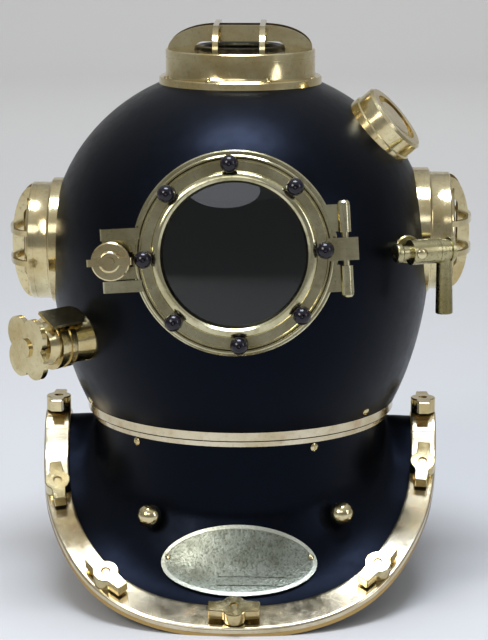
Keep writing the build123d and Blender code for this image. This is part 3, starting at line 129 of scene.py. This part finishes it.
def add(tree, kind, settings=None, links=None):
    """Adds a node, sets its attributes by name and its sockets by name or number, and links its sockets."""
    made = tree.nodes.new(kind)
    for key, value in (settings or {}).items():
        if isinstance(key, str) and hasattr(made, key) and key not in made.inputs:
            setattr(made, key, value)
        else:
            made.inputs[key].default_value = value
    for key, source in (links or {}).items():
        tree.links.new(source, made.inputs[key])
    return made


def start(name):
    """New material with its tree, its shader and object coordinates."""
    material = bpy.data.materials.new(name)
    material.use_nodes = True
    tree = material.node_tree
    place = add(tree, "ShaderNodeTexCoord").outputs["Object"]
    return material, tree, tree.nodes["Principled BSDF"], place


def set_shader(tree, shader, colour, roughness, **settings):
    """Gives a shader its colour and roughness, as sockets or values, and its other settings."""
    for name, value in (("Base Color", colour), ("Roughness", roughness)):
        if isinstance(value, bpy.types.NodeSocket):
            tree.links.new(value, shader.inputs[name])
        else:
            shader.inputs[name].default_value = value
    for name, value in settings.items():
        shader.inputs[name.replace("_", " ")].default_value = value


def calculate(tree, operation, *terms):
    """One sum on sockets or numbers."""
    made = add(tree, "ShaderNodeMath", {"operation": operation})
    for index, term in enumerate(terms):
        if isinstance(term, bpy.types.NodeSocket):
            tree.links.new(term, made.inputs[index])
        else:
            made.inputs[index].default_value = term
    return made.outputs[0]


def noise(tree, place, size, detail, roughness):
    """Fractal noise whose largest blotches are about size millimetres."""
    settings = {"Scale": 1 / (size * MM), "Detail": detail, "Roughness": roughness}
    return add(tree, "ShaderNodeTexNoise", settings, {"Vector": place}).outputs["Fac"]


def between(tree, value, given, wanted=(0.0, 1.0)):
    """Maps a value from one range to another, held at both ends."""
    settings = {"From Min": given[0], "From Max": given[1], "To Min": wanted[0], "To Max": wanted[1]}
    return add(tree, "ShaderNodeMapRange", settings, {"Value": value}).outputs["Result"]


def blend_colours(tree, factor, first, second):
    """Mixes two hex colours, or sockets, by a factor socket."""
    mix = add(tree, "ShaderNodeMix", {"data_type": "RGBA"}, {0: factor})
    for index, colour in ((6, first), (7, second)):
        if isinstance(colour, str):
            mix.inputs[index].default_value = linear(colour)
        else:
            tree.links.new(colour, mix.inputs[index])
    return mix.outputs[2]


def bump(tree, shader, height, distance, strength):
    """Adds relief of a height in millimetres to a shader."""
    settings = {"Strength": strength, "Distance": distance * MM}
    made = add(tree, "ShaderNodeBump", settings, {"Height": height})
    tree.links.new(made.outputs["Normal"], shader.inputs["Normal"])


# Materials. A pattern is a noise's size in millimetres, detail and roughness; a range picks its blotches

BRASS_BROAD = (42.0, 4.0, 0.55)
BRASS_HANDLED = (11.0, 5.0, 0.6)
BRASS_PORES = (3.2, 7.0, 0.72)
BRASS_SWIRL = (1.4, 3.0, 0.6)
BRASS_TONES = (0.38, 0.64)
BRASS_PATCHES = (0.55, 0.72)
BRASS_HOLES = (0.54, 0.66)
BRASS_SHINE = (0.32, 0.72)
SWIRL_RELIEF = 0.03
TARNISH = "#615A3C"
TARNISH_DULLING = 0.35

PAINT_CLOUD = (60.0, 3.0, 0.5)
PAINT_SCUFF = (12.0, 6.0, 0.65)
PAINT_PEEL = (2.6, 2.0, 0.5)
PEEL_RELIEF = 0.05
GLASS_SMEAR = (30.0, 4.0, 0.6)
LACQUER_BLOTCH = (5.0, 3.0, 0.5)
PLATE_GRIME = (14.0, 5.0, 0.6)
PLATE_PEBBLE = (2.0, 2.0, 0.5)
PEBBLE_RELIEF = 0.35
GRAIN_DETAIL = (3.0, 0.5)
GRAIN_SPREAD = (0.9, 1.15)
GRAIN_RELIEF = 0.05


def brass(name, light, dark, patch, polish, patina, tarnish):
    """Brass, cast or rolled and then polished: clean metal of two close tones, with warmer handled patches
    and olive tarnish left in its pores, which is duller than the polish round it."""
    material, tree, shader, place = start(name)
    handled = noise(tree, place, *BRASS_HANDLED)
    dull = between(tree, noise(tree, place, *BRASS_PORES), BRASS_HOLES, (0.0, tarnish))
    tone = blend_colours(tree, between(tree, noise(tree, place, *BRASS_BROAD), BRASS_TONES), light, dark)
    warm = blend_colours(tree, between(tree, handled, BRASS_PATCHES, (0.0, patina)), tone, patch)
    shine = between(tree, handled, BRASS_SHINE, polish)
    roughness = calculate(tree, "MULTIPLY_ADD", dull, TARNISH_DULLING, shine)
    set_shader(tree, shader, blend_colours(tree, dull, warm, TARNISH), roughness, Metallic=1.0)
    bump(tree, shader, noise(tree, place, *BRASS_SWIRL), SWIRL_RELIEF, 0.5)
    return material


# Ports, wing nuts and fittings: pale gold, mirror bright
polished_brass = brass("polished_cast_brass", "#DFD2A8", "#C3B07E", "#A98048", (0.10, 0.20), 0.3, 0.35)
# Bands and neck rings: rolled strip, creamy, with coppery stains and a softer polish
band_brass = brass("rolled_brass_band", "#DCD1B6", "#C3B491", "#AC7842", (0.14, 0.26), 0.4, 0.18)
# Front port: olive gold, turned smooth, its pores dark
door_brass = brass("worn_turned_brass", "#D6CFAC", "#ABA37D", "#80744C", (0.10, 0.21), 0.4, 0.45)
# Spitcock: khaki, left as cast
dull_brass = brass("dull_cast_brass", "#B3AA82", "#8D8359", "#7A6A42", (0.22, 0.34), 0.3, 0.6)
# Ring under the top guard: painted shade, its brass coloured brown black for the guard's shadow
guard_shade_brass = brass("brass_painted_guard_shade", "#2B281D", "#1C1A13", "#3A3221", (0.30, 0.42), 0.3, 0.5)


def worn_rim(tree, place):
    """One on the rim's outer edge and nought elsewhere: (|x| / half width)^n + (|y| / half depth)^n is
    nearly one there, and the edge ends where the shoulders rise."""
    split = add(tree, "ShaderNodeSeparateXYZ", None, {0: place})
    sides = []
    for axis, half in (("X", RIM_HALF_WIDTH), ("Y", RIM_HALF_DEPTH)):
        size = calculate(tree, "ABSOLUTE", split.outputs[axis])
        share = calculate(tree, "DIVIDE", size, half * MM)
        sides.append(calculate(tree, "POWER", share, RIM_ROUNDNESS))
    edge = between(tree, calculate(tree, "ADD", *sides), WORN_EDGE)
    heights = [height * MM for height in WORN_BELOW]
    return calculate(tree, "MULTIPLY", edge, between(tree, split.outputs["Z"], heights, (1.0, 0.0)))


def black_paint():
    """Satin black enamel over spun copper: near black, with faint orange peel and scuffs, its broad soft
    sheen tinted blue, a painted sky colour. The rim's outer edge, where the paint is rubbed away, shows the
    bare metal."""
    material, tree, shader, place = start("satin_black_enamel")
    tone = blend_colours(tree, noise(tree, place, *PAINT_CLOUD), "#030404", "#07080B")
    bare = worn_rim(tree, place)
    scuff = between(tree, noise(tree, place, *PAINT_SCUFF), (0.35, 0.7), (0.30, 0.40))
    # painted reflection colour: the specular tint turns the enamel's sheen blue, as a blue sky would
    set_shader(tree, shader, blend_colours(tree, bare, tone, "#B99A62"), scuff,
               IOR=1.45, Specular_IOR_Level=0.16, Specular_Tint=linear("#9FB5E8"))
    tree.links.new(bare, shader.inputs["Metallic"])
    bump(tree, shader, noise(tree, place, *PAINT_PEEL), PEEL_RELIEF, 0.5)
    return material


def port_glass():
    """Thick plate glass: nearly black, as the helmet behind it is, faintly green, with a light smear."""
    material, tree, shader, place = start("plate_glass")
    smear = between(tree, noise(tree, place, *GLASS_SMEAR), (0.45, 0.75), (0.0, 0.05))
    set_shader(tree, shader, linear("#39413F"), smear, IOR=1.52, Transmission_Weight=0.95)
    return material


def black_lacquer():
    """Gloss black lacquer on small turned nuts: a violet black with sharp lights."""
    material, tree, shader, place = start("gloss_black_lacquer")
    blotch = noise(tree, place, *LACQUER_BLOTCH)
    gloss = between(tree, blotch, (0.3, 0.7), (0.08, 0.18))
    set_shader(tree, shader, blend_colours(tree, blotch, "#08060C", "#17121F"), gloss,
               IOR=1.5, Specular_IOR_Level=0.4)
    return material


def plate_recess_shade_mask(tree, place):
    """Painted shade mask: one on the oval plate's recessed ground, which is coloured darker, and nought on
    its raised
    border: the squares of the shares of its half sizes, across and up its face, add up to less than one on
    the ground."""
    across = add(tree, "ShaderNodeSeparateXYZ", None, {0: place}).outputs["X"]
    upward = {"operation": "DOT_PRODUCT", 1: PLATE_UPWARD}
    above = add(tree, "ShaderNodeVectorMath", upward, {0: place}).outputs["Value"]
    squares = []
    for value, middle, half in zip((across, above), PLATE_MIDDLE, PLATE_FIELD):
        share = calculate(tree, "MULTIPLY_ADD", value, 1 / (half * MM), -middle / half)
        squares.append(calculate(tree, "MULTIPLY", share, share))
    return between(tree, calculate(tree, "ADD", *squares), PLATE_BORDER_FADE, (1.0, 0.0))


def aged_plate():
    """Cast brass plate, nickelled and aged: silvery gold, pebbled, with grime in the hollows. Its recessed
    ground is coloured greyer and darker than its pale raised border: painted shade."""
    material, tree, shader, place = start("aged_cast_plate")
    grime = noise(tree, place, *PLATE_GRIME)
    pebble = noise(tree, place, *PLATE_PEBBLE)
    tone = blend_colours(tree, between(tree, grime, (0.42, 0.66)), "#959A8D", "#787C6E")
    hollow = between(tree, pebble, (0.34, 0.50), (0.5, 0.0))
    grime_and_shade_ground = blend_colours(tree, hollow, tone, "#3C3E34")
    # painted shade: the ground inside the raised border is coloured darker than the pale border
    colour = blend_colours(tree, plate_recess_shade_mask(tree, place), "#C2C4B4", grime_and_shade_ground)
    set_shader(tree, shader, colour, between(tree, grime, (0.35, 0.7), (0.32, 0.44)), Metallic=1.0)
    bump(tree, shader, pebble, PEBBLE_RELIEF, 0.8)
    return material


def plain(name, light, dark, rough, metallic, grain):
    """Moulded or drawn stock inside the helmet: two close tones and a fine grain."""
    material, tree, shader, place = start(name)
    speck = noise(tree, place, grain, *GRAIN_DETAIL)
    roughness = between(tree, speck, (0.3, 0.7), [rough * share for share in GRAIN_SPREAD])
    set_shader(tree, shader, blend_colours(tree, speck, light, dark), roughness, Metallic=metallic)
    bump(tree, shader, speck, GRAIN_RELIEF, 0.4)
    return material


finishes = {
    "black_painted_copper": black_paint(),
    "polished_brass": polished_brass,
    "dull_brass": dull_brass,
    "port_glass": port_glass(),
    "blackened_nuts": black_lacquer(),
    "aged_plate": aged_plate(),
    "rubber": plain("moulded_rubber", "#161616", "#232323", 0.7, 0.0, 1.0),
    "spring_steel": plain("bright_spring_steel", "#9A9A98", "#86868A", 0.3, 1.0, 1.0),
    "black_plastic": plain("moulded_phenolic", "#141414", "#1E1C1A", 0.4, 0.0, 3.0),
}
special = {
    "faceplate_ring": door_brass,
    "faceplate_bezel": door_brass,
    "front_port_frame": door_brass,
    "hinge_pin": door_brass,
    "neck_ring_upper": band_brass,
    "neck_ring_lower": band_brass,
    "spitcock_body": dull_brass,
    "spitcock_plug": dull_brass,
    # painted shade: the top port's bezel is coloured brown black for the shadow under its guard
    "top_port_bezel": guard_shade_brass,
}


# The frame's own pieces: smooth shading and finishes

SHARP_ANGLE = math.radians(32)
WELD = 0.004 * MM


def smooth_group():
    """Geometry group: joins the loose triangles, then shades faces smooth except across sharp edges."""
    group = bpy.data.node_groups.new("smooth_cast", "GeometryNodeTree")
    for side in ("INPUT", "OUTPUT"):
        group.interface.new_socket("Geometry", in_out=side, socket_type="NodeSocketGeometry")
    entry = add(group, "NodeGroupInput").outputs[0]
    joined = add(group, "GeometryNodeMergeByDistance", {"Distance": WELD}, {"Geometry": entry})
    faces = add(group, "GeometryNodeSetShadeSmooth", {"domain": "FACE"}, {"Geometry": joined.outputs[0]})
    angle = add(group, "GeometryNodeInputMeshEdgeAngle").outputs[0]
    sharp = add(group, "FunctionNodeCompare", {"operation": "GREATER_THAN", "data_type": "FLOAT"},
                {"A": angle})
    sharp.inputs["B"].default_value = SHARP_ANGLE
    edges = add(group, "GeometryNodeSetShadeSmooth", {"domain": "EDGE"},
                {"Geometry": faces.outputs[0], "Selection": sharp.outputs[0]})
    edges.inputs["Shade Smooth"].default_value = False
    group.links.new(edges.outputs[0], add(group, "NodeGroupOutput").inputs[0])
    return group


smoothing = smooth_group()
slots = {part["node"]: part["material_slot"] for part in frame["record"]["subparts"]}
for name, item in frame["nodes"].items():
    item.data.materials.clear()
    item.data.materials.append(special.get(name, finishes[slots[name]]))
    item.modifiers.new("smooth", "NODES").node_group = smoothing


# Clamping bands and the front glass, worked out again as smooth surfaces

def make_piece(name, points, faces, material, body):
    """Mesh from an array of points in millimetres and lists of faces, turned outwards, riding on a body.
    The faces point outwards when the volume under them, a sum of a . (b x c), is above nought."""
    ends = np.array([[face[0], face[k], face[k + 1]] for face in faces for k in range(1, len(face) - 1)])
    a, b, c = (points[ends[:, k]] for k in range(3))
    if np.einsum("ij,ij->i", a, np.cross(b, c)).sum() < 0:
        faces = [face[::-1] for face in faces]
    mesh = bpy.data.meshes.new(name)
    mesh.from_pydata((points * MM).tolist(), [], faces)
    mesh.shade_smooth()
    mesh.set_sharp_from_angle(angle=SHARP_ANGLE)
    mesh.materials.append(material)
    made = bpy.data.objects.new(name, mesh)
    bpy.context.scene.collection.objects.link(made)
    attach(made, body)
    return made


def grid_faces(index):
    """Four-sided faces of a grid of point numbers whose rows are closed rings."""
    beside = np.roll(index, -1, axis=1)
    return np.stack([index[:-1], beside[:-1], beside[1:], index[1:]], axis=-1).reshape(-1, 4).tolist()


def closed_tube(rows, columns, first):
    """Faces of a grid of closed profiles, each row a profile, with both end profiles filled."""
    index = first + np.arange(rows * columns).reshape(rows, columns)
    return grid_faces(index) + [index[0, ::-1].tolist(), index[-1].tolist()]


def rim_radius(angle):
    """Plan radius of the rim: (|cos| / half width)^n + (|sin| / half depth)^n, to the power -1/n."""
    across = np.abs(np.cos(angle)) / RIM_HALF_WIDTH
    along = np.abs(np.sin(angle)) / RIM_HALF_DEPTH
    return (across ** RIM_ROUNDNESS + along ** RIM_ROUNDNESS) ** (-1 / RIM_ROUNDNESS)


def band_top(depth):
    """Height of the band's upper face: a Catmull-Rom curve through the rise shares, along the depth."""
    steps = len(RISE_SHARES) - 1
    place = np.minimum(np.abs(depth) / RIM_HALF_DEPTH, 1.0) * steps
    index = np.minimum(place.astype(int), steps - 1)
    t = place - index
    here, after = RISE_SHARES[index], RISE_SHARES[index + 1]
    before = RISE_SHARES[np.abs(index - 1)]
    beyond = np.where(index + 2 <= steps, RISE_SHARES[np.minimum(index + 2, steps)], 2 * after - here)
    share = 0.5 * (2 * here + (after - before) * t + (2 * before - 5 * here + 4 * after - beyond) * t ** 2
                   + (3 * here - before - 3 * after + beyond) * t ** 3)
    return SHOULDER_RISE * share + BAND_BASE


def band_profile():
    """Closed cut through the band: distances in from the rim and drops below its upper face, the two upper
    corners quarter circles."""
    quarter = np.linspace(0, np.pi / 2, PROFILE_STEPS)
    along = BAND_CORNER * (1 - np.sin(quarter))
    below = BAND_CORNER * (1 - np.cos(quarter))
    flat = np.linspace(*BAND_FLAT, PROFILE_STEPS)
    into = np.concatenate([[0.0], along[::-1], flat, BAND_WIDTH - along, [BAND_WIDTH]])
    drop = np.concatenate([[BAND_THICKNESS], below[::-1], np.zeros(PROFILE_STEPS), below, [BAND_THICKNESS]])
    return into, drop


def clamping_band(name, node, sweeps, rows):
    """Bands carried round the rim: the cut's points stand in from the superellipse, at the height of the
    shoulder curve there. Each end lies in an upright plane across the helmet, at a set depth, and its
    angle is the arcsine of that depth over the radius, worked out again until it settles."""
    into, drop = band_profile()
    points, faces = [], []
    for number, (over_shoulder, mirror_x, mirror_y, depth) in enumerate(sweeps):
        end = np.zeros(len(into))
        for _ in range(END_ROUNDS):
            end = np.arcsin(depth / (rim_radius(end) - into))
        first, last = (-end, end) if over_shoulder else (end, np.pi - end)
        angle = first + (last - first) * np.linspace(0, 1, rows)[:, None]
        radius = rim_radius(angle) - into
        x, y = radius * np.cos(angle) * mirror_x, radius * np.sin(angle) * mirror_y
        points.append(np.stack([x, y, band_top(y) - drop], axis=-1).reshape(-1, 3))
        tube = closed_tube(rows, len(into), number * len(points[0]))
        faces += tube if mirror_x * mirror_y > 0 else [face[::-1] for face in tube]
    piece = make_piece(name, np.concatenate(points), faces, band_brass, "breastplate")
    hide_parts(node)


def front_glass():
    """Plano-convex glass turned about the port's axis: a flat back, an upright edge, and a front that is
    part of a sphere, whose rise at a radius r is root(R^2 - r^2) - R + dome."""
    sphere = (GLASS_LIP ** 2 + GLASS_DOME ** 2) / (2 * GLASS_DOME)
    inward = GLASS_LIP * np.cos(np.linspace(0, np.pi / 2, GLASS_FRONT_RINGS))[:-1]
    rise = GLASS_FRONT + np.sqrt(sphere ** 2 - inward ** 2) - sphere + GLASS_DOME
    back = np.linspace(0, GLASS_RADIUS, GLASS_BACK_RINGS + 1)[1:-1]
    radius = np.concatenate([back, [GLASS_RADIUS, GLASS_RADIUS], inward])
    level = np.concatenate([np.full(len(back), GLASS_BACK), [GLASS_BACK, GLASS_FRONT], rise])
    turn = np.linspace(0, 2 * np.pi, GLASS_STEPS, endpoint=False)
    side = radius[:, None] * np.cos(turn)
    lift = radius[:, None] * np.sin(turn)
    out = np.repeat(level[:, None], GLASS_STEPS, axis=1)
    rings = np.stack([side, lift, out], axis=-1).reshape(-1, 3)
    poles = np.array([[0, 0, GLASS_BACK], [0, 0, GLASS_FRONT + GLASS_DOME]])
    local = np.concatenate([rings, poles])
    cosine, sine = math.cos(PORT_TILT), math.sin(PORT_TILT)
    points = np.stack([local[:, 0], sine * local[:, 1] - cosine * local[:, 2],
                       cosine * local[:, 1] + sine * local[:, 2] + PORT_HEIGHT], axis=-1)
    index = np.arange(len(rings)).reshape(len(radius), GLASS_STEPS)
    beside = np.roll(index, -1, axis=1)
    back_pole, front_pole = (np.full(GLASS_STEPS, len(rings) + k) for k in range(2))
    back_fan = np.stack([back_pole, beside[0], index[0]], axis=-1).tolist()
    front_fan = np.stack([front_pole, index[-1], beside[-1]], axis=-1).tolist()
    piece = make_piece("front_glass", points, grid_faces(index) + back_fan + front_fan,
                       finishes["port_glass"], "faceplate")
    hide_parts("faceplate_glass")


front_glass()
clamping_band("front_band", "brail_front", [(False, 1, -1, BAND_JOINT + BAND_GAP)], LONG_ROWS)
clamping_band("back_band", "brail_back", [(False, 1, 1, BAND_JOINT + BAND_GAP)], LONG_ROWS)
clamping_band("shoulder_bands", "brail_shoulders",
              [(True, 1, 1, BAND_JOINT), (True, -1, 1, BAND_JOINT)], SHORT_ROWS)


# Stage, in metres: a round studio of pale matt paper

FLOOR_START = 0.4
FLOOR_RADIUS = 4.2
FLOOR_BEND = 1.0
WALL_HEIGHT = 2.8
FLOOR_RINGS = 12
BEND_RINGS = 15
WALL_RINGS = 6
STAGE_STEPS = 96
PAPER_COLOUR = "#CFCECC"
PAPER_ROUGHNESS = 0.9


def pale_paper():
    """Matt paper, a little warm, which shows only soft shadow."""
    material, tree, shader, _ = start("pale_paper")
    set_shader(tree, shader, linear(PAPER_COLOUR), PAPER_ROUGHNESS)
    return material


def floor_sheet():
    """Round paper studio: a flat disc, a quarter circle and an upright wall, turned about the Z axis."""
    bend = np.linspace(0, np.pi / 2, BEND_RINGS + 1)[1:]
    wall = np.linspace(FLOOR_BEND, WALL_HEIGHT, WALL_RINGS + 1)[1:]
    out = np.concatenate([np.linspace(FLOOR_START, FLOOR_RADIUS, FLOOR_RINGS),
                          FLOOR_RADIUS + FLOOR_BEND * np.sin(bend),
                          np.full(WALL_RINGS, FLOOR_RADIUS + FLOOR_BEND)])
    up = np.concatenate([np.zeros(FLOOR_RINGS), FLOOR_BEND * (1 - np.cos(bend)), wall])
    turn = np.linspace(0, 2 * np.pi, STAGE_STEPS, endpoint=False)
    grid = np.stack([out[:, None] * np.cos(turn), out[:, None] * np.sin(turn),
                     np.repeat(up[:, None], STAGE_STEPS, axis=1)], axis=-1)
    index = np.arange(out.size * STAGE_STEPS).reshape(out.size, STAGE_STEPS)
    faces = [face[::-1] for face in grid_faces(index)] + [index[0].tolist()]
    mesh = bpy.data.meshes.new("floor")
    mesh.from_pydata(grid.reshape(-1, 3).tolist(), [], faces)
    mesh.shade_smooth()
    mesh.materials.append(pale_paper())
    floor = bpy.data.objects.new("floor", mesh)
    bpy.context.scene.collection.objects.link(floor)


# Lamps: name, place, aim, width and height, power in watts, colour
LAMPS = [
    ("key", (-1.5, -1.9, 1.7), (0, 0, 0.25), (1.0, 1.2), 23, "#FFFAF2"),
    ("fill", (2.1, -1.3, 1.1), (0, 0, 0.25), (0.6, 1.6), 8, "#F4F7FF"),
    ("top", (0.0, -0.35, 2.3), (0, 0, 0.2), (1.3, 0.8), 50, "#DDE7F8"),
    ("window", (-0.3, -2.5, 1.75), (0, 0, 0.27), (1.5, 0.8), 6, "#F2F6FF"),
    ("wall_lamp", (0.0, 2.4, 2.9), (0, 5.0, 1.0), (3.0, 0.8), 45, "#FFFFFF"),
]


def lamp(name, place, aim, size, power, colour):
    """Soft oval lamp."""
    light = bpy.data.lights.new(name, "AREA")
    light.shape = "ELLIPSE"
    light.size, light.size_y = size
    light.energy = power
    light.color = linear(colour)[:3]
    made = bpy.data.objects.new(name, light)
    bpy.context.scene.collection.objects.link(made)
    made.location = place
    made.rotation_euler = (Vector(aim) - Vector(place)).to_track_quat("-Z", "Y").to_euler()


# Room over the studio's wall: pale ceiling light that fades towards the horizon
SKY_COLOUR = "#CACCCF"
SKY_HEIGHTS = (0.30, 0.90)
SKY_STRENGTHS = (0.35, 1.0)


def room():
    """World light whose strength rises with the heading's height."""
    world = bpy.data.worlds.new("world")
    bpy.context.scene.world = world
    world.use_nodes = True
    tree = world.node_tree
    background = tree.nodes["Background"]
    background.inputs["Color"].default_value = linear(SKY_COLOUR)
    heading = add(tree, "ShaderNodeTexCoord").outputs["Generated"]
    height = add(tree, "ShaderNodeSeparateXYZ", None, {0: heading}).outputs["Z"]
    tree.links.new(between(tree, height, SKY_HEIGHTS, SKY_STRENGTHS), background.inputs["Strength"])


floor_sheet()
for row in LAMPS:
    lamp(*row)
room()
